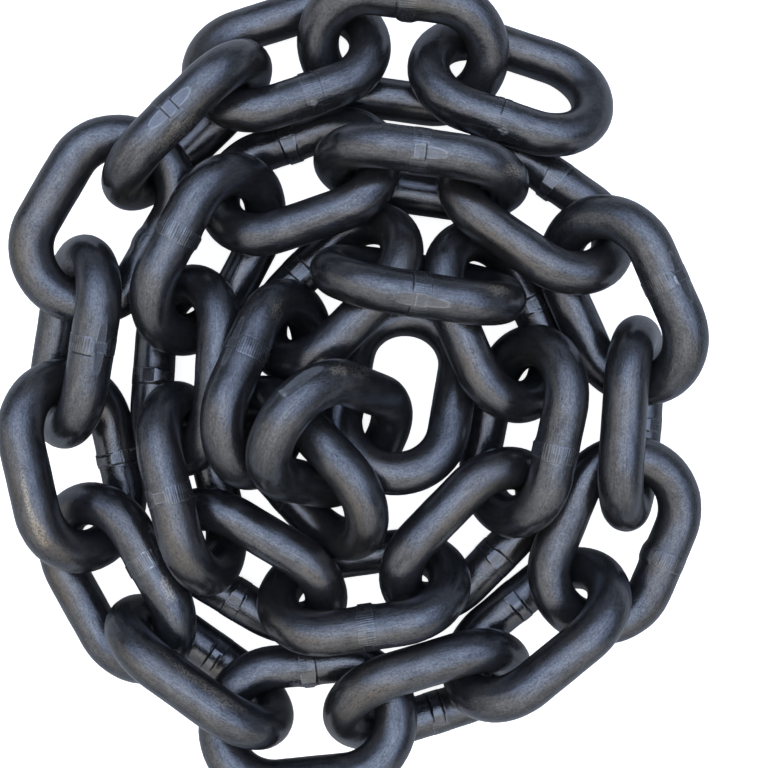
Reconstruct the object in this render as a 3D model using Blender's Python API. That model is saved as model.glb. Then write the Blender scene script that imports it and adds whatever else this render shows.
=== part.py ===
"""A heap of round-link lifting chain, laid out as one flat spiral of 32 links.

Every link is the same forged and welded ring of round steel bar. The table SEEN holds
where the bars of each link lie in a picture taken from straight above, read by eye.
The links are lifted from there into the heap, then nudged until each one hangs in its
two neighbours, no two bars cut into each other and the lowest bars lie on the floor.
"""
import math

import bmesh
import bpy
import numpy as np
from mathutils import Matrix

# driving dimensions of one link, in millimetres
WIRE = 10.0
PITCH = 30.0
INNER_WIDTH = 15.0
CLEARANCE = 0.3

# the camera that the picture was taken with: straight above, looking down
CAMERA_HEIGHT = 256.0
FOCAL_PIXELS = 1040.0
PICTURE_CENTRE = (384.0, 380.0)

# how many flats stand for the round bar, for a half turn and for a straight side
BAR_SIDES = 12
CROWN_STEPS = 9
STRAIGHT_STEPS = 4

# finish of the chain
BLACK_STEEL = (0.020, 0.021, 0.025, 1.0)
STEEL_METALLIC = 0.6
STEEL_ROUGHNESS = 0.38

# how sure a reading is, in pixels: plainly seen, partly covered, guessed behind other links
CLEAR = 4.0
PARTLY = 9.0
GUESSED = 20.0
# how far each of the four readings holds along the link and across it: where a rounded end
# stops is seen better than its middle, and a straight side shows its place, not its length
SURE_ALONG = (1.0, 1.0, 0.35, 0.35)
SURE_ACROSS = (0.5, 0.5, 1.0, 1.0)

# middle of the bar at each of these four places of a link, in picture pixels:
# first rounded end, second rounded end, middle of the upper side, middle of the lower side
SEEN = {
    "link_01": ((429, 61), (592, 114), (499, 122), (522, 52), (CLEAR, CLEAR, CLEAR, CLEAR)),
    "link_02": ((487, 61), (321, 39), (411, -3), (397, 103), (CLEAR, CLEAR, CLEAR, CLEAR)),
    "link_03": ((367, 35), (211, 80), (300, 94), (278, 20), (CLEAR, CLEAR, CLEAR, CLEAR)),
    "link_04": ((254, 67), (121, 178), (177, 110), (198, 135), (CLEAR, CLEAR, CLEAR, PARTLY)),
    "link_05": ((149, 141), (70, 294), (60, 192), (159, 243), (PARTLY, CLEAR, CLEAR, PARTLY)),
    "link_06": ((86, 258), (68, 421), (94, 340), (60, 340), (CLEAR, CLEAR, CLEAR, CLEAR)),
    "link_07": ((55, 384), (91, 544), (25, 470), (122, 463), (CLEAR, CLEAR, CLEAR, CLEAR)),
    "link_08": ((78, 517), (159, 646), (148, 563), (89, 600), (CLEAR, PARTLY, CLEAR, CLEAR)),
    "link_09": ((134, 621), (266, 727), (187, 690), (213, 658), (CLEAR, CLEAR, CLEAR, CLEAR)),
    "link_10": ((225, 737), (394, 707), (319, 775), (300, 669), (PARTLY, CLEAR, PARTLY, CLEAR)),
    "link_11": ((348, 715), (506, 664), (419, 665), (435, 714), (CLEAR, CLEAR, CLEAR, CLEAR)),
    "link_12": ((472, 686), (607, 580), (562, 662), (517, 604), (CLEAR, CLEAR, CLEAR, CLEAR)),
    "link_13": ((583, 615), (648, 461), (663, 558), (568, 518), (CLEAR, CLEAR, CLEAR, CLEAR)),
    "link_14": ((631, 508), (643, 341), (623, 423), (650, 425), (CLEAR, CLEAR, CLEAR, PARTLY)),
    "link_15": ((654, 380), (585, 225), (661, 284), (579, 321), (CLEAR, CLEAR, CLEAR, CLEAR)),
    "link_16": ((606, 258), (475, 173), (521, 245), (560, 186), (CLEAR, PARTLY, CLEAR, CLEAR)),
    "link_17": ((511, 183), (335, 163), (425, 153), (421, 193), (CLEAR, CLEAR, CLEAR, CLEAR)),
    "link_18": ((381, 160), (221, 207), (312, 219), (288, 143), (PARTLY, CLEAR, CLEAR, CLEAR)),
    "link_19": ((251, 177), (163, 329), (170, 232), (244, 275), (CLEAR, CLEAR, CLEAR, CLEAR)),
    "link_20": ((191, 292), (182, 453), (217, 374), (156, 371), (CLEAR, PARTLY, CLEAR, CLEAR)),
    "link_21": ((172, 410), (211, 576), (166, 499), (217, 487), (CLEAR, CLEAR, CLEAR, CLEAR)),
    "link_22": ((177, 531), (321, 608), (266, 536), (231, 603), (GUESSED, CLEAR, CLEAR, CLEAR)),
    "link_23": ((282, 606), (448, 582), (370, 631), (360, 557), (CLEAR, CLEAR, CLEAR, CLEAR)),
    "link_24": ((417, 597), (524, 474), (441, 509), (500, 561), (CLEAR, CLEAR, CLEAR, CLEAR)),
    "link_25": ((500, 510), (540, 349), (563, 440), (477, 419), (CLEAR, CLEAR, CLEAR, CLEAR)),
    "link_26": ((528, 396), (462, 248), (462, 337), (528, 307), (CLEAR, PARTLY, CLEAR, CLEAR)),
    "link_27": ((502, 295), (333, 274), (416, 296), (418, 273), (CLEAR, CLEAR, CLEAR, PARTLY)),
    "link_28": ((383, 226), (274, 359), (360, 318), (297, 267), (PARTLY, GUESSED, CLEAR, CLEAR)),
    "link_29": ((296, 308), (232, 461), (236, 372), (293, 397), (CLEAR, CLEAR, CLEAR, GUESSED)),
    "link_30": ((256, 406), (354, 533), (328, 452), (282, 488), (GUESSED, CLEAR, CLEAR, CLEAR)),
    "link_31": ((292, 392), (358, 473), (364, 387), (288, 477), (CLEAR, PARTLY, CLEAR, CLEAR)),
    "link_32": ((397, 476), (403, 311), (451, 395), (351, 393), (CLEAR, CLEAR, CLEAR, PARTLY)),
}

# heights of the two rounded ends of the links that stand on a slope, in millimetres
SLOPING = {
    "link_30": (18.0, 16.0),
    "link_31": (36.0, 9.0),
    "link_32": (17.0, 8.0),
}
# lowest height of a link's middle before the heap is nudged into place
RESTING_HEIGHT = 15.0
# turns about its own length that are tried for a link, in degrees
ROLLS = np.arange(0.0, 180.5, 2.5)

# how the heap is nudged: firmness of the steel against the readings, and rounds
NUDGES = ((0.8, 30), (3.0, 25), (12.0, 25), (50.0, 40))
LONGEST_STEP = 2.0
# how stiffly a move is held back: at first, at least, after a good move and after a bad one
FIRST_DAMPING = 1.0
SMALLEST_DAMPING = 1e-3
EASE = 3.0
STIFFEN = 4.0
# how hard each link pulls down
WEIGHT = 0.2

CROWN_RADIUS = (INNER_WIDTH + WIRE) / 2
END_REACH = (PITCH + WIRE) / 2
HALF_STRAIGHT = END_REACH - CROWN_RADIUS
REACHES = np.array([1.0, 1.0, 1.0, END_REACH, END_REACH, END_REACH])
NAMES = list(SEEN)


def centre_line():
    """Corners of the bar's centre line around one link, in the link's own axes."""
    points = []
    for side in (1, -1):
        for k in range(STRAIGHT_STEPS):
            along = -HALF_STRAIGHT + 2 * HALF_STRAIGHT * k / STRAIGHT_STEPS
            points.append((side * along, side * CROWN_RADIUS, 0.0))
        for k in range(CROWN_STEPS):
            turn = math.pi * k / CROWN_STEPS
            out = HALF_STRAIGHT + CROWN_RADIUS * math.sin(turn)
            points.append((side * out, side * CROWN_RADIUS * math.cos(turn), 0.0))
    return np.array(points)


CENTRE_LINE = centre_line()
MARKS = np.array([
    (-END_REACH, 0.0, 0.0),
    (END_REACH, 0.0, 0.0),
    (0.0, CROWN_RADIUS, 0.0),
    (0.0, -CROWN_RADIUS, 0.0),
])


def turned(vector):
    """Rotation matrix of a turn about a vector by its length in radians."""
    angle = np.linalg.norm(vector)
    if angle < 1e-12:
        return np.eye(3)
    x, y, z = vector / angle
    cross = np.array([(0.0, -z, y), (z, 0.0, -x), (-y, x, 0.0)])
    return np.eye(3) + math.sin(angle) * cross + (1.0 - math.cos(angle)) * cross @ cross


def in_picture(points):
    """Where points of the heap appear in the picture."""
    scale = FOCAL_PIXELS / (CAMERA_HEIGHT - points[:, 2])
    return np.stack([
        PICTURE_CENTRE[0] + scale * points[:, 0],
        PICTURE_CENTRE[1] - scale * points[:, 1],
    ], axis=1)


def from_picture(pixel, height):
    """The point at a given height that appears at a pixel."""
    scale = (CAMERA_HEIGHT - height) / FOCAL_PIXELS
    return np.array([
        (pixel[0] - PICTURE_CENTRE[0]) * scale,
        (PICTURE_CENTRE[1] - pixel[1]) * scale,
        height,
    ])


def first_place(name):
    """Middle and axes of a link, lifted from its four readings."""
    first, second, upper, lower, spread = SEEN[name]
    heights = SLOPING.get(name, (RESTING_HEIGHT, RESTING_HEIGHT))
    along = from_picture(second, heights[1]) - from_picture(first, heights[0])
    along /= np.linalg.norm(along)
    level = np.cross((0.0, 0.0, 1.0), along)
    level /= np.linalg.norm(level)
    best = None
    for degrees in ROLLS:
        roll = math.radians(degrees)
        across = math.cos(roll) * level + math.sin(roll) * np.cross(along, level)
        middle_height = max(RESTING_HEIGHT, WIRE / 2 + CROWN_RADIUS * across[2])
        if name in SLOPING:
            middle_height = sum(heights) / 2
        middle = (from_picture(first, middle_height) + from_picture(second, middle_height)) / 2
        seen = in_picture(np.array([middle + CROWN_RADIUS * across, middle - CROWN_RADIUS * across]))
        miss = np.linalg.norm(seen - np.array([upper, lower]), axis=1) / np.array(spread[2:])
        score = float(miss @ miss)
        if best is None or score < best[0]:
            axes = np.stack([along, across, np.cross(along, across)], axis=1)
            best = (score, middle, axes)
    return best[1], best[2]


def nearest_points(start_a, end_a, start_b, end_b):
    """Nearest points of many pairs of straight segments."""
    run_a = end_a - start_a
    run_b = end_b - start_b
    offset = start_a - start_b
    aa = (run_a * run_a).sum(-1)
    bb = (run_b * run_b).sum(-1)
    ab = (run_a * run_b).sum(-1)
    ao = (run_a * offset).sum(-1)
    bo = (run_b * offset).sum(-1)
    spread = np.maximum(aa * bb - ab * ab, 1e-9)
    s = np.clip((ab * bo - ao * bb) / spread, 0.0, 1.0)
    t = np.clip((ab * s + bo) / bb, 0.0, 1.0)
    s = np.clip((ab * t - ao) / aa, 0.0, 1.0)
    return start_a + s[..., None] * run_a, start_b + t[..., None] * run_b


def close_bars(middles, axes):
    """Rows of (link, link, point, point, distance) wherever two bars come close."""
    rings = middles[:, None] + CENTRE_LINE @ axes.transpose(0, 2, 1)
    ends = np.roll(rings, -1, axis=1)
    first, second = np.triu_indices(len(middles), 1)
    near = np.linalg.norm(middles[first] - middles[second], axis=1) < 2 * (END_REACH + WIRE)
    first = first[near]
    second = second[near]
    a, b = nearest_points(
        rings[first][:, :, None],
        ends[first][:, :, None],
        rings[second][:, None],
        ends[second][:, None],
    )
    distance = np.linalg.norm(a - b, axis=-1)
    rows = []
    for k, (i, j) in enumerate(zip(first, second)):
        closest = distance[k].min()
        hooked = j == i + 1
        if closest > WIRE + CLEARANCE and not hooked:
            continue
        for m, n in np.argwhere(distance[k] <= max(WIRE + CLEARANCE, closest)):
            rows.append((i, j, a[k, m, n], b[k, m, n], distance[k, m, n]))
    return rows, rings


def pull_rows(middles, axes, firmness, weight):
    """Residuals and slopes of everything that holds the links in place."""
    count = len(middles)
    slopes = []
    values = []

    def add(value, *terms):
        row = np.zeros(6 * count)
        for link, arm, direction in terms:
            row[6 * link:6 * link + 3] += direction
            row[6 * link + 3:6 * link + 6] += np.cross(arm, direction)
        slopes.append(row)
        values.append(value)

    for i, name in enumerate(NAMES):
        spread = SEEN[name][4]
        arms = MARKS @ axes[i].T
        points = middles[i] + arms
        pictured = in_picture(points)
        scale = FOCAL_PIXELS / (CAMERA_HEIGHT - points[:, 2])
        along = (pictured[1] - pictured[0]) / np.linalg.norm(pictured[1] - pictured[0])
        across = np.array([-along[1], along[0]])
        for k in range(4):
            depth = CAMERA_HEIGHT - points[k, 2]
            right = scale[k] * np.array([1.0, 0.0, points[k, 0] / depth])
            down = -scale[k] * np.array([0.0, 1.0, points[k, 1] / depth])
            miss = pictured[k] - SEEN[name][k]
            for line, sureness in ((along, SURE_ALONG[k]), (across, SURE_ACROSS[k])):
                share = sureness / spread[k]
                direction = share * (line[0] * right + line[1] * down)
                add(share * (line @ miss), (i, arms[k], direction))
        add(weight * middles[i, 2], (i, np.zeros(3), np.array([0.0, 0.0, weight])))
    rows, rings = close_bars(middles, axes)
    for i, j, a, b, distance in rows:
        apart = firmness * (a - b) / max(distance, 1e-6)
        short = firmness * (WIRE + CLEARANCE - distance)
        add(short, (i, a - middles[i], -apart), (j, b - middles[j], apart))
    for i, ring in enumerate(rings):
        for point in ring[ring[:, 2] < WIRE / 2]:
            down = np.array([0.0, 0.0, -firmness])
            add(firmness * (WIRE / 2 - point[2]), (i, point - middles[i], down))
    return np.array(slopes), np.array(values)


def nudged(middles, axes, firmness, weight, rounds):
    """Links moved a little at a time; a move that makes the fit worse is made shorter."""
    slopes, values = pull_rows(middles, axes, firmness, weight)
    damping = FIRST_DAMPING
    for _ in range(rounds):
        square = slopes.T @ slopes
        square[np.diag_indices_from(square)] += damping
        move = -np.linalg.solve(square, slopes.T @ values).reshape(-1, 6)
        move *= min(1.0, LONGEST_STEP / np.abs(move * REACHES).max())
        new_middles = middles + move[:, :3]
        new_axes = np.array([turned(m[3:]) @ a for m, a in zip(move, axes)])
        new_slopes, new_values = pull_rows(new_middles, new_axes, firmness, weight)
        if new_values @ new_values < values @ values:
            middles, axes, slopes, values = new_middles, new_axes, new_slopes, new_values
            damping = max(damping / EASE, SMALLEST_DAMPING)
        else:
            damping *= STIFFEN
    return middles, axes


def settled():
    """Middles and axes of all links, in millimetres, once the heap lies clear and linked."""
    places = [first_place(name) for name in NAMES]
    middles = np.array([place[0] for place in places])
    axes = np.array([place[1] for place in places])
    for firmness, rounds in NUDGES:
        middles, axes = nudged(middles, axes, firmness, WEIGHT, rounds)
    rings = middles[:, None] + CENTRE_LINE @ axes.transpose(0, 2, 1)
    lowest = rings[:, :, 2].min()
    span = (rings[:, :, :2].min(axis=(0, 1)) + rings[:, :, :2].max(axis=(0, 1))) / 2
    middles = middles - np.array([span[0], span[1], lowest - WIRE / 2])
    return middles, axes


# the links as solids
def clear_scene():
    """Remove whatever the file holds."""
    for item in list(bpy.data.objects):
        bpy.data.objects.remove(item, do_unlink=True)


def link_mesh():
    """One link: a ring of round bar, two crowns turned and two straight sides bridged."""
    metre = 0.001
    form = bmesh.new()
    crowns = []
    for side in (1, -1):
        place = (
            Matrix.Rotation(0.0 if side == 1 else math.pi, 4, "Z")
            @ Matrix.Translation((HALF_STRAIGHT * metre, CROWN_RADIUS * metre, 0.0))
            @ Matrix.Rotation(math.pi / 2, 4, "Y")
        )
        section = bmesh.ops.create_circle(
            form, cap_ends=False, segments=BAR_SIDES, radius=WIRE / 2 * metre, matrix=place
        )
        edges = list({edge for vert in section["verts"] for edge in vert.link_edges})
        turn = bmesh.ops.spin(
            form,
            geom=section["verts"] + edges,
            cent=(side * HALF_STRAIGHT * metre, 0.0, 0.0),
            axis=(0.0, 0.0, 1.0),
            angle=-math.pi,
            steps=CROWN_STEPS,
            use_duplicate=False,
        )
        far = [item for item in turn["geom_last"] if isinstance(item, bmesh.types.BMEdge)]
        crowns.append((edges, far))
    bmesh.ops.bridge_loops(form, edges=crowns[0][0] + crowns[1][1])
    bmesh.ops.bridge_loops(form, edges=crowns[1][0] + crowns[0][1])
    bmesh.ops.recalc_face_normals(form, faces=form.faces)
    for face in form.faces:
        face.smooth = True
    mesh = bpy.data.meshes.new("round_link")
    form.to_mesh(mesh)
    form.free()
    return mesh


def steel(name):
    """Blackened steel, one material for each link."""
    material = bpy.data.materials.new(name + "_steel")
    material.use_nodes = True
    shader = material.node_tree.nodes["Principled BSDF"]
    shader.inputs["Base Color"].default_value = BLACK_STEEL
    shader.inputs["Metallic"].default_value = STEEL_METALLIC
    shader.inputs["Roughness"].default_value = STEEL_ROUGHNESS
    return material


def build():
    """Lay the chain out."""
    clear_scene()
    middles, axes = settled()
    shape = link_mesh()
    for name, middle, turn in zip(NAMES, middles, axes):
        link = bpy.data.objects.new(name, shape.copy())
        link.data.materials.append(steel(name))
        place = Matrix([list(row) + [0.0] for row in turn] + [[0.0, 0.0, 0.0, 1.0]])
        place.translation = (middle * 0.001).tolist()
        link.matrix_world = place
        bpy.context.scene.collection.objects.link(link)


build()
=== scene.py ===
import math
import random
from typing import NamedTuple

import bmesh
import bpy
import numpy as np
from mathutils import Matrix, Vector, noise


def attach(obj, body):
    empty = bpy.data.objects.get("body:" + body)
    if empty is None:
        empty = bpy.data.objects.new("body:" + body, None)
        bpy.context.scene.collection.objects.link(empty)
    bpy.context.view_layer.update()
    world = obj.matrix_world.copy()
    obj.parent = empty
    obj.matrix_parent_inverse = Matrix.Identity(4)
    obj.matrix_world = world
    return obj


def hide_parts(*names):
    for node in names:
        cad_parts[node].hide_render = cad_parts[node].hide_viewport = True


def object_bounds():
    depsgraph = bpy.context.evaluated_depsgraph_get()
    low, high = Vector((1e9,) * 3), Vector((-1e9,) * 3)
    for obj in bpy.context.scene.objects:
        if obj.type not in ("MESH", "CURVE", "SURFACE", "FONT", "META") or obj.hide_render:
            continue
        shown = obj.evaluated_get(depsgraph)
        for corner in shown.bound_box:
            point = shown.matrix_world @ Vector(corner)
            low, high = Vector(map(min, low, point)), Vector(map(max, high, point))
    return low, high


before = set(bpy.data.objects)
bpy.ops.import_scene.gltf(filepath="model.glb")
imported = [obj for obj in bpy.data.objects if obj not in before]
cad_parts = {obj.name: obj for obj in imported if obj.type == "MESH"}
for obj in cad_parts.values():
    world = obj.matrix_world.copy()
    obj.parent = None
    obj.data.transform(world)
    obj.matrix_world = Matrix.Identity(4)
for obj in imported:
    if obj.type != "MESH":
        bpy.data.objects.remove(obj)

cad_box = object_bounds()

# The links. Each is a piece of 10 mm round alloy steel bar, bent into a ring round a former
# and butt welded in the middle of one straight side. The weld was trimmed while it was hot:
# flats on the outside, ridged bands on both faces and a proud flat-topped block in the hole.
BAR = 0.010
SKIN_ALLOWANCE = 0.00008
BAR_RADIUS = BAR / 2 - SKIN_ALLOWANCE
PITCH = 0.030
INNER_WIDTH = 0.015
CROWN_RADIUS = (INNER_WIDTH + BAR) / 2
HALF_STRAIGHT = (PITCH + BAR) / 2 - CROWN_RADIUS
BAR_LENGTH = 4 * HALF_STRAIGHT + 2 * math.pi * CROWN_RADIUS

# How finely the bar is cut: most finely at the weld, and on the outside where the flats are.
PLAIN_SIDE_STEPS = 10
WELD_REACH = 0.0024
WELD_RING_STEP = 0.00015
REST_RING_STEP = 0.00041
FLAT_REACH = 40
SAME_PLACE = 1e-6


def bent_bar(sides, crown_steps, weld_cuts):
    """The ring of bar as bent: the side to be welded is at +y, and the face that is up is +z."""
    form = bmesh.new()
    start = Matrix.Translation((0.0, CROWN_RADIUS, 0.0)) @ Matrix.Rotation(math.pi / 2, 4, "Y")
    bmesh.ops.create_circle(form, cap_ends=False, segments=sides, radius=BAR_RADIUS, matrix=start)
    edges = form.edges[:]

    def carried_on(edges, centre, step, angle, steps):
        verts = list(dict.fromkeys(vert for edge in edges for vert in edge.verts))
        run = bmesh.ops.spin(
            form, geom=verts + edges, cent=centre, axis=(0, 0, 1), dvec=step,
            angle=angle, steps=steps, use_duplicate=False,
        )
        return [item for item in run["geom_last"] if isinstance(item, bmesh.types.BMEdge)]

    still = (0.0, 0.0, 0.0)
    fine = round(WELD_REACH / WELD_RING_STEP)
    rest = round((HALF_STRAIGHT - WELD_REACH) / REST_RING_STEP)
    rest_step = (HALF_STRAIGHT - WELD_REACH) / rest
    side_step = -2 * HALF_STRAIGHT / PLAIN_SIDE_STEPS
    edges = carried_on(edges, still, (WELD_RING_STEP, 0.0, 0.0), 0.0, fine)
    edges = carried_on(edges, still, (rest_step, 0.0, 0.0), 0.0, rest)
    edges = carried_on(edges, (HALF_STRAIGHT, 0.0, 0.0), still, -math.pi, crown_steps)
    edges = carried_on(edges, still, (side_step, 0.0, 0.0), 0.0, PLAIN_SIDE_STEPS)
    edges = carried_on(edges, (-HALF_STRAIGHT, 0.0, 0.0), still, -math.pi, crown_steps)
    edges = carried_on(edges, still, (rest_step, 0.0, 0.0), 0.0, rest)
    edges = carried_on(edges, still, (WELD_RING_STEP, 0.0, 0.0), 0.0, fine)
    bmesh.ops.remove_doubles(form, verts=form.verts, dist=SAME_PLACE)

    def gets_finer(edge):
        one, two = (vert.co for vert in edge.verts)
        lengthwise = abs(one.x - two.x) > SAME_PLACE
        if one.y < 0 or lengthwise or abs(one.x) > HALF_STRAIGHT - REST_RING_STEP:
            return False
        outward = (one + two) / 2 - Vector((one.x, CROWN_RADIUS, 0.0))
        turn = abs(math.atan2(outward.z, outward.y))
        return abs(one.x) < WELD_REACH or turn < math.radians(FLAT_REACH)

    finer = [edge for edge in form.edges if gets_finer(edge)]
    bmesh.ops.subdivide_edges(form, edges=finer, cuts=weld_cuts, use_grid_fill=True)
    bmesh.ops.recalc_face_normals(form, faces=form.faces)
    for face in form.faces:
        face.smooth = True
    # spin leaves the faces in another order at each run, so they are sorted by their corners
    form.verts.index_update()
    count = len(form.verts)

    def by_corners(face):
        first, second, third = sorted(vert.index for vert in face.verts)[:3]
        return (first * count + second) * count + third

    form.faces.sort(key=by_corners)
    mesh = bpy.data.meshes.new("bent_bar")
    form.to_mesh(mesh)
    form.free()
    return mesh


class Weld(NamedTuple):
    """How one link's weld differs. Lengths are in mm, and angles in degrees round the bar.

    Angles go from 0 on the outside of the link over 90 on its upper face to 180 in its hole.
    """

    # the side of the link that it is on, on the compass, with north at the top of the picture
    side: str
    # how far it sits off the middle of that side, and how far it is turned round the bar
    off_middle: float
    turned: float
    ridge_depth: float
    block_height: float
    # dark joint lines across it: how far off its middle, and from where to where round the bar
    joints: tuple = ()
    # how deep the two leaf-shaped flats beside it are, against the deepest
    leaves: tuple = None
    # height of a rounded swelling in the hole, which three welds have
    swelling: float = 0.0


WELDS = {
    "link_01": Weld("S", 0.4, 0, 0.03, 0.40, ((0.2, 60, 150),)),
    "link_02": Weld("N", 0.0, 0, 0.04, 0.0, ((-2.5, 60, 180),), swelling=0.55),
    "link_03": Weld("S", -1.7, 0, 0.015, 0.40, leaves=(0.5, 1.0)),
    "link_04": Weld("up", -0.7, 0, 0.04, 0.35, ((-1.4, 0, 18), (1.4, 0, 18)), leaves=(1.0, 1.0)),
    "link_05": Weld("E", -0.5, 0, 0.01, 0.0, swelling=0.35),
    "link_06": Weld("E", -1.6, 0, 0.04, 0.45, ((2.0, 20, 75),)),
    "link_07": Weld("E", 1.0, 0, 0.03, 0.40, ((-1.2, 150, 180), (1.2, 60, 150))),
    "link_08": Weld("NE", -0.3, 0, 0.05, 0.40),
    "link_09": Weld("down", 0.9, 0, 0.05, 0.45, ((-1.2, 135, 180), (1.2, 155, 180))),
    "link_10": Weld("N", 0.85, 0, 0.012, 0.50, ((1.95, 60, 170),)),
    "link_11": Weld("S", -1.4, 0, 0.03, 0.40, ((-1.4, 125, 180), (1.4, 130, 180))),
    "link_12": Weld("NW", 0.85, 0, 0.03, 0.40, ((-1.4, 140, 180), (1.4, 110, 180))),
    "link_13": Weld("E", -0.2, 8, 0.04, 0.0, swelling=0.45),
    "link_14": Weld("E", 0.25, 0, 0.03, 0.35, ((-1.3, 0, 60), (1.3, 0, 60)), leaves=(1.0, 1.0)),
    "link_15": Weld("E", -0.5, 18, 0.045, 0.40),
    "link_16": Weld("N", -1.7, 14, 0.04, 0.45),
    "link_17": Weld("N", -0.6, 25, 0.05, 0.40, ((1.35, 0, 20),), leaves=(0.0, 1.0)),
    "link_18": Weld("N", 0.0, 0, 0.03, 0.45, ((-1.9, 85, 178),)),
    "link_19": Weld("W", 0.6, -34, 0.075, 0.45),
    "link_20": Weld("W", -0.85, 0, 0.03, 0.50, ((-2.0, 60, 178),)),
    "link_21": Weld("W", 1.0, 0, 0.06, 0.40, leaves=(0.0, 0.0)),
    "link_22": Weld("SW", -1.2, 0, 0.03, 0.50, ((-1.7, 125, 160),)),
    "link_23": Weld("S", -0.35, -20, 0.055, 0.45),
    "link_24": Weld("SE", -0.4, 0, 0.04, 0.45, ((-2.0, 95, 150),)),
    "link_25": Weld("E", 1.8, -32, 0.055, 0.45),
    "link_26": Weld("E", -0.1, 0, 0.03, 0.45, ((-2.0, 90, 178),)),
    "link_27": Weld("S", 2.0, -4, 0.03, 0.40, ((2.1, 25, 70),), leaves=(0.7, 1.3)),
    "link_28": Weld("NW", -2.3, 0, 0.03, 0.55, ((-1.9, 100, 180), (1.9, 100, 180))),
    "link_29": Weld("NW", 1.05, -6, 0.06, 0.45),
    "link_30": Weld("SW", -0.1, 0, 0.05, 0.40, ((-1.2, 20, 120),)),
    "link_31": Weld("NE", 0.0, 0, 0.0, 0.0),
    "link_32": Weld("W", 0.0, 0, 0.05, 0.40),
}
# Sizes that all welds share, in mm. Ridges of FULL_RIDGE or deeper show at full strength, and
# a leaf shallower than LEAF_LEAST isn't cut.
COLLAR_RISE = 0.06
COLLAR_HALF = 2.2
HUMP_HALF = 2.1
BAND_RISE = 0.05
BAND_FOOT = 0.04
BAND_EDGE = 0.13
FULL_RIDGE = 0.07
MIDDLE_FLAT_HALF = 1.2
MIDDLE_FLAT_DEPTH = 0.11
MIDDLE_FLAT_STEP = 0.07
LEAF_MIDDLE = 3.0
LEAF_DEPTH = 0.13
LEAF_LEAST = 0.03
FLAT_BLEND = 0.02
RIM_HALF = 0.022
BLOCK_LEAST_HALF = 1.5
BLOCK_FOOT = 0.03
BURR_RISE = 0.03
JOINT_HALF = 0.13
JOINT_GAPE = 0.07
JOINT_DEPTH = 0.10
JOINT_GAPE_DEPTH = 0.15
# The share of the block's height that the hump under it has, and of its width that tapers off.
HUMP_SHARE = 0.45
BLOCK_TAPER = 0.40
# Least and most, where each weld has its own: half the band's width (mm), the angle from ridge
# to ridge (degrees), half a leaf's length (mm) and its depth against the deepest.
BAND_HALF = (1.9, 2.1)
RIDGE_TURN = (5.8, 7.4)
LEAF_HALF = (2.8, 3.6)
LEAF_SHARE = (0.3, 0.8)
# Where the forms come and go round the bar, in degrees: nothing at the first, all at the second.
FACE_STARTS = (13, 16)
FACE_ENDS = (136, 128)
BAND_WIDENS = (13, 26)
BAND_NARROWS = (116, 134)
HUMP_STARTS = (115, 165)
STEP_ENDS = (22, 14)
BLOCK_STARTS = (114, 121)
BLOCK_TAPERS = (148, 174)
BLOCK_CORNER = 125
BURR_STARTS = (116, 124)
JOINT_WIDENS = (112, 172)
JOINT_DEEPENS = (112, 168)


def ramp(value, nothing, everything):
    """0 at the one end and past it, 1 at the other and past it, smooth between."""
    share = np.clip((value - nothing) / (everything - nothing), 0.0, 1.0)
    return share * share * (3 - 2 * share)


def bell(distance, half, power=2):
    """1 at no distance, and near 0 past twice the half width."""
    return np.exp(-(distance / half) ** power)


def noise_row(across, along, draw):
    """Smooth noise between about -1 and 1 at each place of a row."""
    shift = draw.uniform(0.0, 90.0)
    return np.array([noise.noise((a + shift, b, shift)) for a, b in zip(across, along)])


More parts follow.
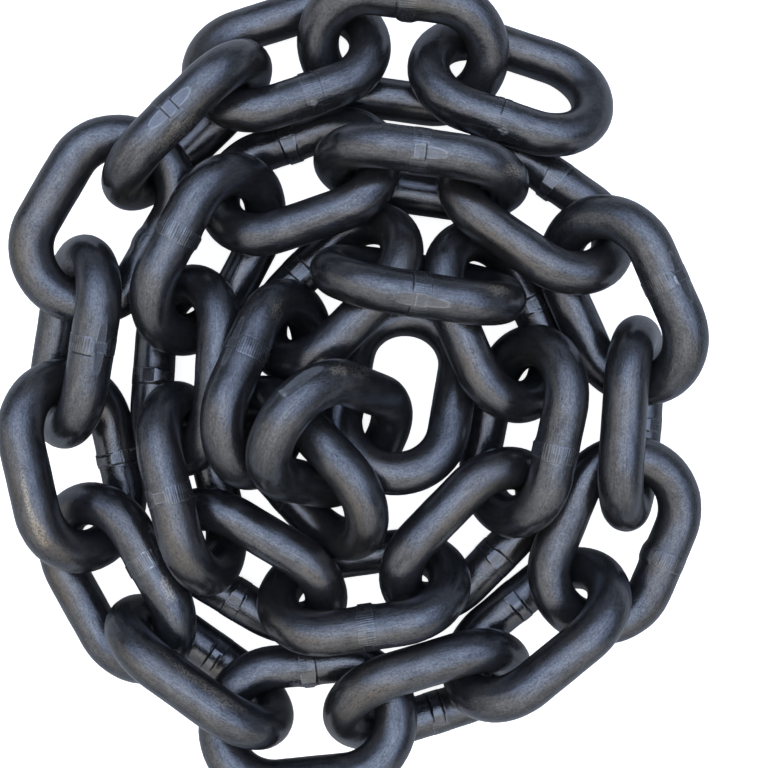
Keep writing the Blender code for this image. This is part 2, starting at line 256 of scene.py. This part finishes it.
def trimmed_weld(x, turn, weld, leaves, draw):
    """Bar radius near a weld (mm), and how far each place is a trimmed flat, a joint, or paler:
    burnished on the ridge crests, and a painted highlight on the band's border, the flats' rims and ends
    and the burr.

    x is the distance from the weld's middle in mm, and turn the angle round the bar in degrees.
    """
    ridge_depth, block_height = weld.ridge_depth, weld.block_height
    ridge_share = min(ridge_depth / FULL_RIDGE, 1.0)
    plain = BAR_RADIUS * 1000
    away = np.abs(turn)
    reach = np.abs(x)
    outer = away < FLAT_REACH
    wave = noise_row(x * 0.9, turn * 0.05, draw)
    patchy = 0.65 + 0.7 * noise_row(x * 0.35, turn * 0.06, draw)
    # the upset collar swells the bar, more so in the hole
    radius = plain + COLLAR_RISE * bell(x, COLLAR_HALF)
    hump = HUMP_SHARE * block_height + weld.swelling
    radius = radius + hump * bell(x, HUMP_HALF, 4) * ramp(away, *HUMP_STARTS)
    # ridged bands on both faces, narrow near the outside flat and near the hole
    band_half = draw.uniform(*BAND_HALF)
    block_half = max(BLOCK_LEAST_HALF / 2 + 2.0 * block_height, BLOCK_LEAST_HALF)
    half = MIDDLE_FLAT_HALF + (band_half - MIDDLE_FLAT_HALF) * ramp(away, *BAND_WIDENS)
    half = half - (band_half - block_half) * ramp(away, *BAND_NARROWS)
    within = half - reach + 0.07 * wave
    on_faces = ramp(away, *FACE_STARTS) * ramp(away, *FACE_ENDS)
    ridge_turn = draw.uniform(*RIDGE_TURN)
    ridge_place = away - 20 + 3 * noise_row(x * 0.15, turn * 0.01, draw)
    ridge_place = ridge_place + 3.5 * noise_row(turn * 0.08, x * 0.05, draw)
    ridges = 0.5 - 0.5 * np.cos(2 * np.pi * ridge_place / ridge_turn)
    ridges = ridges * np.clip(patchy, 0.25, 1.3)
    on_band = ramp(within, 0.0, BAND_EDGE) * on_faces
    radius = radius + on_band * (BAND_RISE - ridge_depth * ridges)
    radius = radius - BAND_FOOT * bell(within + 0.14, BAND_EDGE) * on_faces
    # the ridge crests are paler, burnished steel
    burnish_and_highlight = on_band * np.clip(1 - 3.0 * ridges, 0, 1) * ridge_share * 0.7
    dark = on_band * ramp(ridges, 0.35, 0.9) * ridge_share * 0.3
    # the band's border is painted lighter, as a painted highlight
    border = bell(within - 0.10, 0.08) * on_faces * np.clip(1.6 * patchy - 0.5, 0, 1)
    burnish_and_highlight = np.maximum(burnish_and_highlight, border * min(0.25 + ridge_depth * 12, 1.0))
    # flats on the outside: a short one on the weld, and a leaf-shaped one on each side of it
    leaf_half = np.where(x < 0, draw.uniform(*LEAF_HALF), draw.uniform(*LEAF_HALF))
    deepest = LEAF_DEPTH * np.where(x < 0, leaves[0], leaves[1])
    leaf = deepest * (1 - ((reach - LEAF_MIDDLE) / leaf_half) ** 2) - 0.2 * (deepest < LEAF_LEAST)
    depth = np.where(reach < MIDDLE_FLAT_HALF, MIDDLE_FLAT_DEPTH, leaf)
    outside = (plain - depth) / np.maximum(np.cos(np.radians(away)), 0.5)
    flat = ramp(radius - outside, -FLAT_BLEND / 2, FLAT_BLEND) * outer
    # the rims of the flats and the ends of the middle flat are painted lighter, as a painted highlight
    rim = bell(radius - outside, RIM_HALF) * outer * (reach < LEAF_MIDDLE + leaf_half - 0.2)
    ends = bell(reach - (MIDDLE_FLAT_HALF - 0.12), 0.09) * flat
    burnish_and_highlight = np.maximum(burnish_and_highlight, 0.9 * np.maximum(rim, ends) * np.clip(1.5 * patchy - 0.1, 0.1, 1))
    radius = np.where(outer, np.minimum(radius, outside), radius)
    step = bell(reach - (MIDDLE_FLAT_HALF + 0.07), 0.09) * ramp(away, *STEP_ENDS)
    radius = radius - MIDDLE_FLAT_STEP * step
    # the block in the hole: its sloping sides are flats, and a thin burr runs round them
    blocked = min(block_height * 9, 1.0)
    block_edge = block_half * (1 - BLOCK_TAPER * ramp(away, *BLOCK_TAPERS)) + 0.05 * wave
    corner = np.radians(np.maximum(away - BLOCK_CORNER, 0))
    inside = np.minimum((plain + BLOCK_FOOT) / np.cos(corner), plain + block_height)
    on_block = ramp(block_edge - reach, -0.05, 0.09) * ramp(away, *BLOCK_STARTS) * blocked
    radius = radius + on_block * (inside - radius)
    flat = np.maximum(flat, on_block)
    burr = bell(block_edge - reach - 0.09, 0.10) * ramp(away, *BURR_STARTS) * blocked
    radius = radius + BURR_RISE * burr
    # the burr is painted lighter, as a painted highlight along it
    burnish_and_highlight = np.maximum(burnish_and_highlight, burr * np.clip(1.3 * patchy, 0.3, 1))
    # dark joint lines: thin outside, and gaping towards the hole
    for place, start, stop in weld.joints:
        bend = 0.16 * noise_row(turn * 0.02, x * 0.0, draw)
        bend = bend + 0.06 * noise_row(turn * 0.09, x * 0.0, draw)
        shown = ramp(away, start - 8, start + 4) * ramp(away, stop + 8, stop - 4)
        groove_half = JOINT_HALF + JOINT_GAPE * ramp(away, *JOINT_WIDENS)
        groove = bell(x - place - bend, groove_half) * shown
        radius = radius - groove * (JOINT_DEPTH + JOINT_GAPE_DEPTH * ramp(away, *JOINT_DEEPENS))
        dark = np.maximum(dark, groove)
    if ridge_depth == 0:
        return np.full(len(x), plain), dark * 0, dark * 0, dark * 0
    return radius, flat, dark, burnish_and_highlight * (1 - dark)


# Spots where the finish is rubbed brown: how far along the bar from the middle of the welded
# side (mm), how far round the bar (degrees), half its length and half its width (mm), and how
# strongly it is rubbed.
RUBS = {
    "link_04": ((-3.0, 64, 6.5, 2.4, 0.55),),
    "link_07": ((50.5, 41, 7.0, 0.6, 1.0), (44.0, 46, 3.0, 1.3, 0.8)),
    "link_08": ((6.8, 36, 3.2, 1.1, 0.9),),
    "link_09": ((52.4, 56, 9.5, 1.2, 0.8), (47.0, 50, 2.5, 1.8, 0.7)),
    "link_17": ((18.0, 16, 2.2, 1.6, 0.8),),
    "link_27": ((-14.0, 50, 2.3, 1.7, 0.9),),
    "link_29": ((11.0, 70, 2.2, 2.4, 0.5),),
    "link_31": ((-12.9, 22, 1.9, 1.4, 1.0), (-9.0, 15, 5.0, 3.0, 0.45)),
}
# Bare bright places that the trimming tool scraped, given in the same way.
SCRAPES = {
    "link_01": ((0.3, 112, 0.25, 1.1, 0.7), (-0.9, 18, 1.4, 0.9, 0.9)),
    "link_03": ((-0.9, 27, 1.3, 0.8, 0.7),),
    "link_07": ((-0.4, 80, 0.3, 1.6, 0.6),),
    "link_08": ((-2.3, 47, 0.16, 0.7, 0.7), (-0.4, 39, 1.9, 0.14, 0.5), (1.4, 45, 0.16, 0.5, 0.8)),
    "link_15": ((0.0, 35, 1.1, 0.3, 1.0),),
    "link_31": ((-22.8, -12, 0.28, 2.0, 0.8),),
}
# A long trimmed flat on the bend of the steep link: its place along the bar (mm) and round it
# (degrees), and half its length (mm). Its depth and the blend at its edge are in metres.
BEND_FLATS = {"link_31": (-19.3, -3, 4.2)}
BEND_FLAT_DEPTH = 0.00018
BEND_FLAT_BLEND = (-0.00001, 0.00003)


def along_from(place, length):
    """Distance along the bar from a place (mm), the shorter way round the link."""
    whole = BAR_LENGTH * 1000
    return (length * 1000 - place + whole / 2) % whole - whole / 2


def round_from(place, turn):
    """Angle round the bar from a place, between -180 and 180 degrees."""
    return (np.degrees(turn) - place + 180) % 360 - 180


def spots(marks, length, turn, draw):
    """How strongly each place is marked, by marks that are given as in the tables above."""
    marked = np.zeros(len(length))
    for place, around, half_long, half_wide, strength in marks:
        along = along_from(place, length)
        across = np.radians(round_from(around, turn)) * BAR_RADIUS * 1000
        near = np.hypot(along / half_long, across / half_wide)
        ragged = near + 0.5 * noise_row(along * 0.9, across * 1.4, draw)
        marked = np.maximum(marked, strength * ramp(ragged, 1.15, 0.55))
    return marked


# Compass of the welded sides as the heap lies, seen from above with north at the top.
COMPASS = {
    "N": (0.0, 1.0, 0.0), "NE": (0.7, 0.7, 0.0), "E": (1.0, 0.0, 0.0), "SE": (0.7, -0.7, 0.0),
    "S": (0.0, -1.0, 0.0), "SW": (-0.7, -0.7, 0.0), "W": (-1.0, 0.0, 0.0), "NW": (-0.7, 0.7, 0.0),
    "up": (0.0, 0.0, 1.0), "down": (0.0, 0.0, -1.0),
}
# In metres: where the weld fades out at the ends of its side, and how far the skin swells and
# dents, so many times to the metre.
WELD_FADE = 0.0008
SWELL = 0.00008
SWELLS_PER_METRE = 160
DENT = 0.00003
DENTS_PER_METRE = 480


def link_place(name):
    """Where a link's CAD solid lies: its long, wide and flat axes as columns, and its middle."""
    corners = np.array([vert.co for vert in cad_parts[name].data.vertices])
    corners = np.unique(np.round(corners, 6), axis=0)
    middle = corners.mean(axis=0)
    axes = np.linalg.eigh(np.cov((corners - middle).T))[1]
    wide = axes[:, 1]
    if wide @ np.array(COMPASS[WELDS[name].side]) < 0:
        wide = -wide
    face = axes[:, 0] if axes[2, 0] > 0 else -axes[:, 0]
    return np.stack([np.cross(wide, face), wide, face], axis=1), middle


def on_middle_line(corners):
    """Nearest point of the bar's middle line, way out of the link, and length along the bar."""
    x, y = corners[:, 0], corners[:, 1]
    in_crown = np.abs(x) > HALF_STRAIGHT
    pivot = np.where(in_crown, np.sign(x) * HALF_STRAIGHT, x)
    out = np.stack([x - pivot, y], axis=1)
    out /= np.linalg.norm(out, axis=1)[:, None]
    middle = np.stack([pivot, np.zeros(len(x))], axis=1) + out * CROWN_RADIUS
    bend = np.arctan2(np.abs(out[:, 0]), out[:, 1])
    to_plain_side = 2 * HALF_STRAIGHT + math.pi * CROWN_RADIUS
    length = np.where(y > 0, np.abs(pivot), to_plain_side - np.abs(pivot))
    length = np.where(in_crown, HALF_STRAIGHT + bend * CROWN_RADIUS, length)
    length = np.where(x < 0, BAR_LENGTH - length, length)
    return middle, out, length


def lay_skin(mesh, length, turn, shift):
    """Where each face corner lies on the straightened bar, with the seam of that map in the weld."""
    loops = np.empty(len(mesh.loops), np.int32)
    mesh.loops.foreach_get("vertex_index", loops)
    sides = np.empty(len(mesh.polygons), np.int32)
    mesh.polygons.foreach_get("loop_total", sides)
    centres = np.empty(len(mesh.polygons) * 3, np.float32)
    mesh.polygons.foreach_get("center", centres)
    left = np.repeat(centres[::3] < 0, sides)
    run = length[loops]
    run = np.where(left & (run < BAR_RADIUS), run + BAR_LENGTH, run)
    run = np.where(~left & (run > BAR_LENGTH - BAR_RADIUS), run - BAR_LENGTH, run)
    round_skin = np.stack([np.cos(turn[loops]), np.sin(turn[loops])], axis=1) * BAR_RADIUS
    skin = np.column_stack([round_skin, run + shift]).astype(np.float32)
    mesh.attributes.new("skin_place", "FLOAT_VECTOR", "CORNER").data.foreach_set(
        "vector", skin.ravel()
    )


def forged(name, bent, draw):
    """One link: the bent bar with its weld and its slight unevenness, in its place in the heap."""
    weld = WELDS[name]
    off_middle = weld.off_middle / 1000
    mesh = bent.copy()
    mesh.name = name + "_forged"
    corners = np.empty(len(mesh.vertices) * 3, np.float32)
    mesh.vertices.foreach_get("co", corners)
    corners = corners.reshape(-1, 3).astype(float)
    # the rings of corners round the weld move along with it
    welded = (np.abs(corners[:, 0]) < HALF_STRAIGHT) & (corners[:, 1] > 0)
    give = np.clip((HALF_STRAIGHT - np.abs(corners[:, 0])) / (HALF_STRAIGHT - WELD_REACH), 0, 1)
    corners[:, 0] += np.where(welded, give * off_middle, 0.0)
    middle, out, length = on_middle_line(corners)
    turn = np.arctan2(corners[:, 2], ((corners[:, :2] - middle) * out).sum(axis=1))
    # the weld
    radius = np.full(len(corners), BAR_RADIUS)
    flat, dark, burnish_and_highlight = np.zeros((3, len(corners)))
    from_weld = (corners[welded, 0] - off_middle) * 1000
    drawn_leaves = (draw.uniform(*LEAF_SHARE), draw.uniform(*LEAF_SHARE))
    trimmed = trimmed_weld(
        from_weld, round_from(weld.turned, turn[welded]), weld, weld.leaves or drawn_leaves, draw
    )
    weld_radius, flat[welded], dark[welded], burnish_and_highlight[welded] = trimmed
    fade = ramp(HALF_STRAIGHT - np.abs(corners[welded, 0]), 0.0, WELD_FADE)
    radius[welded] += (weld_radius / 1000 - BAR_RADIUS) * fade
    # the scaled skin: slow swells and small dents
    seed = Vector((draw.uniform(0, 50), draw.uniform(0, 50), draw.uniform(0, 50)))
    swells = [noise.noise(Vector(corner) * SWELLS_PER_METRE + seed) for corner in corners]
    dents = [noise.noise(Vector(corner) * DENTS_PER_METRE + seed) for corner in corners]
    radius += np.array(swells) * SWELL + np.array(dents) * DENT
    # marks of use, and the flat on the bend of the steep link, which is painted lighter as a painted
    # highlight
    rubbed = spots(RUBS.get(name, ()), length, turn, draw)
    scraped = spots(SCRAPES.get(name, ()), length, turn, draw)
    if name in BEND_FLATS:
        place, around, half_long = BEND_FLATS[name]
        tilt = np.abs(round_from(around, turn))
        depth = BEND_FLAT_DEPTH * (1 - (along_from(place, length) / half_long) ** 4)
        plane = (BAR_RADIUS - depth) / np.maximum(np.cos(np.radians(tilt)), 0.5)
        on_flat = ramp(radius - plane, *BEND_FLAT_BLEND)
        flat = np.maximum(flat, on_flat * (tilt < FLAT_REACH))
        # the whole bend flat is painted lighter: a painted highlight
        burnish_and_highlight = np.maximum(burnish_and_highlight, 0.75 * flat)
        radius = np.where(tilt < FLAT_REACH, np.minimum(radius, plane), radius)
    corners[:, 2] = radius * np.sin(turn)
    corners[:, :2] = middle + out * (radius * np.cos(turn))[:, None]
    lay_skin(mesh, length, turn, draw.uniform(0, 9))
    marks = {"trimmed": flat, "joint": dark, "burnish_and_highlight": burnish_and_highlight, "rubbed": rubbed, "scraped": scraped}
    for title, amount in marks.items():
        mark = mesh.attributes.new(title, "FLOAT", "POINT")
        mark.data.foreach_set("value", amount.astype(np.float32))
    axes, place = link_place(name)
    placed = np.clip(place + corners @ axes.T, cad_box[0], cad_box[1])
    mesh.vertices.foreach_set("co", placed.astype(np.float32).ravel())
    mesh.update()
    return mesh


NEAR_BLACK = (0.038, 0.040, 0.046, 1.0)
GREY_STEEL = (0.212, 0.219, 0.234, 1.0)
BROWN_CAST = (0.155, 0.133, 0.108, 1.0)
TRIMMED_STEEL = (0.180, 0.190, 0.215, 1.0)
RUBBED_BROWN = (0.380, 0.330, 0.265, 1.0)
# paler steel for the burnished crests and for the painted highlight on rims, borders, burrs and the bend
# flat
BURNISH_AND_HIGHLIGHT_GREY = (0.275, 0.290, 0.315, 1.0)
BARE_STEEL = (0.600, 0.613, 0.635, 1.0)
JOINT_BLACK = (0.006, 0.006, 0.007, 1.0)
BUMP_HEIGHT = 0.00005


def blackened_steel():
    """Oil-blackened steel: blue-black, with drawn lines along the bar, grain and paler trimmed flats,
    and paler edges that are partly burnished and partly a painted highlight.
    """
    material = bpy.data.materials.new("blackened_steel")
    material.use_nodes = True
    nodes = material.node_tree.nodes
    links = material.node_tree.links
    shader = nodes["Principled BSDF"]

    def attribute(name, output):
        node = nodes.new("ShaderNodeAttribute")
        node.attribute_name = name
        return node.outputs[output]

    def grain(stretch, scale, detail, rough):
        mapping = nodes.new("ShaderNodeMapping")
        mapping.inputs["Scale"].default_value = (1.0, 1.0, stretch)
        links.new(skin_place, mapping.inputs["Vector"])
        node = nodes.new("ShaderNodeTexNoise")
        node.inputs["Scale"].default_value = scale
        node.inputs["Detail"].default_value = detail
        node.inputs["Roughness"].default_value = rough
        links.new(mapping.outputs["Vector"], node.inputs["Vector"])
        return node.outputs["Fac"]

    def spread(value, low, high, to_low, to_high):
        node = nodes.new("ShaderNodeMapRange")
        node.inputs["From Min"].default_value = low
        node.inputs["From Max"].default_value = high
        node.inputs["To Min"].default_value = to_low
        node.inputs["To Max"].default_value = to_high
        links.new(value, node.inputs["Value"])
        return node.outputs["Result"]

    def worked(operation, a, b):
        node = nodes.new("ShaderNodeMath")
        node.operation = operation
        for socket, value in zip(node.inputs, (a, b)):
            if isinstance(value, float):
                socket.default_value = value
            else:
                links.new(value, socket)
        return node.outputs["Value"]

    def blended(amount, one, two):
        node = nodes.new("ShaderNodeMix")
        node.data_type = "RGBA"
        links.new(amount, node.inputs["Factor"])
        for socket, value in zip((node.inputs["A"], node.inputs["B"]), (one, two)):
            if isinstance(value, tuple):
                socket.default_value = value
            else:
                links.new(value, socket)
        return node.outputs["Result"]

    skin_place = attribute("skin_place", "Vector")
    trimmed = attribute("trimmed", "Fac")
    joint = attribute("joint", "Fac")
    burnish_and_highlight = attribute("burnish_and_highlight", "Fac")
    rubbed = attribute("rubbed", "Fac")
    scraped = attribute("scraped", "Fac")
    drawn_lines = grain(0.07, 2400.0, 2.0, 0.6)
    pits = grain(0.7, 3000.0, 2.0, 0.7)
    mottle = grain(0.5, 480.0, 4.0, 0.7)
    clouds = grain(0.5, 110.0, 2.0, 0.5)
    # colour: near black with a blue cast, browner in clouds, paler on flats, edges and rubs, where the
    # edges mix burnish with painted highlight
    speckle = spread(pits, 0.36, 0.64, 0.0, 1.0)
    tone = worked("ADD", spread(drawn_lines, 0.3, 0.7, 0.0, 0.16), spread(mottle, 0.3, 0.7, 0.0, 0.36))
    tone = worked("ADD", tone, worked("MULTIPLY", speckle, 0.32))
    steel = blended(tone, NEAR_BLACK, GREY_STEEL)
    brown = worked("MULTIPLY", spread(clouds, 0.52, 0.68, 0.0, 1.0), worked("MULTIPLY", speckle, 0.7))
    steel = blended(brown, steel, BROWN_CAST)
    steel = blended(worked("MULTIPLY", trimmed, 0.30), steel, TRIMMED_STEEL)
    worn = worked("MULTIPLY", rubbed, spread(pits, 0.40, 0.60, 0.15, 1.0))
    steel = blended(worn, steel, RUBBED_BROWN)
    # the edges mask: burnished crests, and a painted highlight on rims, borders, burrs and the bend flat
    edges = worked("MULTIPLY", burnish_and_highlight, spread(mottle, 0.34, 0.56, 0.45, 1.0))
    steel = blended(edges, steel, BURNISH_AND_HIGHLIGHT_GREY)
    bared = worked("MULTIPLY", scraped, spread(drawn_lines, 0.40, 0.56, 0.35, 0.95))
    steel = blended(bared, steel, BARE_STEEL)
    steel = blended(joint, steel, JOINT_BLACK)
    links.new(steel, shader.inputs["Base Color"])
    shader.inputs["Metallic"].default_value = 0.87
    # gloss: oily on the plain bar, duller in the joints and on every mark
    roughness = worked("ADD", spread(mottle, 0.3, 0.7, 0.10, 0.20), worked("MULTIPLY", speckle, 0.07))
    dulled = worked("ADD", worked("MULTIPLY", joint, 0.3), worked("MULTIPLY", worn, 0.25))
    dulled = worked("ADD", dulled, worked("MULTIPLY", edges, 0.22))
    dulled = worked("ADD", dulled, worked("MULTIPLY", bared, 0.35))
    links.new(worked("ADD", roughness, dulled), shader.inputs["Roughness"])
    height = worked("ADD", spread(drawn_lines, 0.2, 0.8, 0.0, 0.30), spread(pits, 0.3, 0.7, 0.0, 0.7))
    height = worked("ADD", height, spread(mottle, 0.2, 0.8, 0.0, 1.2))
    bump = nodes.new("ShaderNodeBump")
    bump.inputs["Strength"].default_value = 0.55
    bump.inputs["Distance"].default_value = BUMP_HEIGHT
    links.new(height, bump.inputs["Height"])
    links.new(bump.outputs["Normal"], shader.inputs["Normal"])
    return material


bent = bent_bar(sides=60, crown_steps=30, weld_cuts=3)
# the steep link is cut finer all round, for the marks on its bend
finely_bent = bent_bar(sides=120, crown_steps=120, weld_cuts=0)
steel = blackened_steel()
for number, name in enumerate(sorted(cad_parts)):
    mesh = forged(name, finely_bent if name in BEND_FLATS else bent, random.Random(number))
    mesh.materials.append(steel)
    link = bpy.data.objects.new(name + "_forged", mesh)
    bpy.context.scene.collection.objects.link(link)
    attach(link, "root")
    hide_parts(name)

# The floor is a plain white sheet, much wider than the heap, just under its lowest bars. Its
# own glow keeps it pale under the heap, and the steel mirrors it as a greyer sheet.
FLOOR_HALF = 3.0
FLOOR_DROP = 0.0002
FLOOR_WHITE = (0.92, 0.92, 0.92, 1.0)
MIRRORED_GREY = (0.46, 0.46, 0.46, 1.0)
FLOOR_GLOW = 0.9

sheet = bmesh.new()
bmesh.ops.create_grid(
    sheet, x_segments=1, y_segments=1, size=FLOOR_HALF,
    matrix=Matrix.Translation((0.0, 0.0, -FLOOR_DROP)),
)
floor_mesh = bpy.data.meshes.new("floor")
sheet.to_mesh(floor_mesh)
sheet.free()
floor = bpy.data.objects.new("floor", floor_mesh)
bpy.context.scene.collection.objects.link(floor)
paper = bpy.data.materials.new("pale_floor")
paper.use_nodes = True
paper_nodes = paper.node_tree.nodes
paper_links = paper.node_tree.links
paper_shader = paper_nodes["Principled BSDF"]
seen = paper_nodes.new("ShaderNodeLightPath")
shade = paper_nodes.new("ShaderNodeMix")
shade.data_type = "RGBA"
shade.inputs["A"].default_value = MIRRORED_GREY
shade.inputs["B"].default_value = FLOOR_WHITE
paper_links.new(seen.outputs["Is Camera Ray"], shade.inputs["Factor"])
paper_links.new(shade.outputs["Result"], paper_shader.inputs["Base Color"])
glow = paper_nodes.new("ShaderNodeMath")
glow.operation = "MULTIPLY"
glow.inputs[1].default_value = FLOOR_GLOW
paper_links.new(seen.outputs["Is Camera Ray"], glow.inputs[0])
paper_links.new(glow.outputs["Value"], paper_shader.inputs["Emission Strength"])
paper_shader.inputs["Emission Color"].default_value = (1.0, 1.0, 1.0, 1.0)
paper_shader.inputs["Roughness"].default_value = 0.9
floor_mesh.materials.append(paper)

# The studio is lit like an open court under a grey sky: brightest straight above, bluer to
# the north, and dark near the level. The backdrop that the camera sees is pale.
NORTH = (0.42, 0.91, 0.0)
SOUTH_SKY_ENDS = -0.32
NORTH_SKY_STARTS = 0.05
ZENITH = (2.10, 2.35, 2.80, 1.0)
BACKDROP_WHITE = (0.95, 0.95, 0.95, 1.0)

world = bpy.data.worlds.new("studio")
bpy.context.scene.world = world
world.use_nodes = True
sky_nodes = world.node_tree.nodes
sky_links = world.node_tree.links
way = sky_nodes.new("ShaderNodeTexCoord")
parts = sky_nodes.new("ShaderNodeSeparateXYZ")
sky_links.new(way.outputs["Generated"], parts.inputs["Vector"])


def sky_ramp(stops):
    """Light against height above the level, from 0 at the level to 1 straight above."""
    node = sky_nodes.new("ShaderNodeValToRGB")
    node.color_ramp.elements[0].position = stops[0][0]
    node.color_ramp.elements[0].color = stops[0][1]
    node.color_ramp.elements[1].position = stops[-1][0]
    node.color_ramp.elements[1].color = stops[-1][1]
    for position, colour in stops[1:-1]:
        node.color_ramp.elements.new(position).color = colour
    sky_links.new(parts.outputs["Z"], node.inputs["Fac"])
    return node.outputs["Color"]


north_sky = sky_ramp((
    (0.0, (0.18, 0.20, 0.23, 1.0)), (0.50, (0.22, 0.25, 0.32, 1.0)), (0.62, (0.66, 0.82, 1.15, 1.0)),
    (0.80, (1.08, 1.28, 1.75, 1.0)), (0.93, (1.52, 1.80, 2.35, 1.0)), (0.98, (1.58, 1.82, 2.30, 1.0)),
    (1.0, ZENITH),
))
south_sky = sky_ramp((
    (0.0, (0.48, 0.48, 0.47, 1.0)), (0.30, (0.68, 0.68, 0.67, 1.0)), (0.50, (0.92, 0.90, 0.87, 1.0)),
    (0.80, (1.25, 1.22, 1.17, 1.0)), (0.97, (1.42, 1.46, 1.56, 1.0)), (1.0, ZENITH),
))
northward = sky_nodes.new("ShaderNodeVectorMath")
northward.operation = "DOT_PRODUCT"
northward.inputs[1].default_value = NORTH
sky_links.new(way.outputs["Generated"], northward.inputs[0])
bluer = sky_nodes.new("ShaderNodeMapRange")
bluer.inputs["From Min"].default_value = SOUTH_SKY_ENDS
bluer.inputs["From Max"].default_value = NORTH_SKY_STARTS
sky_links.new(northward.outputs["Value"], bluer.inputs["Value"])
sky = sky_nodes.new("ShaderNodeMix")
sky.data_type = "RGBA"
sky_links.new(bluer.outputs["Result"], sky.inputs["Factor"])
sky_links.new(south_sky, sky.inputs["A"])
sky_links.new(north_sky, sky.inputs["B"])
backdrop = sky_nodes.new("ShaderNodeMix")
backdrop.data_type = "RGBA"
backdrop.inputs["B"].default_value = BACKDROP_WHITE
sky_seen = sky_nodes.new("ShaderNodeLightPath")
sky_links.new(sky_seen.outputs["Is Camera Ray"], backdrop.inputs["Factor"])
sky_links.new(sky.outputs["Result"], backdrop.inputs["A"])
sky_links.new(backdrop.outputs["Result"], sky_nodes["Background"].inputs["Color"])
sky_nodes["Background"].inputs["Strength"].default_value = 1.0

# The camera looks straight down from the height that the photograph was taken from. The middle
# of the view is raised a little in the picture, by a small shift of the lens.
CAMERA_PLACE = (0.00596, 0.00057, 0.2560)
FOCAL_PIXELS = 1040.0
PICTURE_PIXELS = 768.0
CENTRE_RAISED_PIXELS = 4.0

camera_data = bpy.data.cameras.new("camera")
camera_data.sensor_width = 36.0
camera_data.lens = FOCAL_PIXELS / PICTURE_PIXELS * camera_data.sensor_width
camera_data.shift_y = -CENTRE_RAISED_PIXELS / PICTURE_PIXELS
camera_data.clip_start = 0.01
camera = bpy.data.objects.new("camera", camera_data)
camera.location = CAMERA_PLACE
bpy.context.scene.collection.objects.link(camera)
bpy.context.scene.camera = camera
bpy.context.scene.view_settings.view_transform = "Standard"
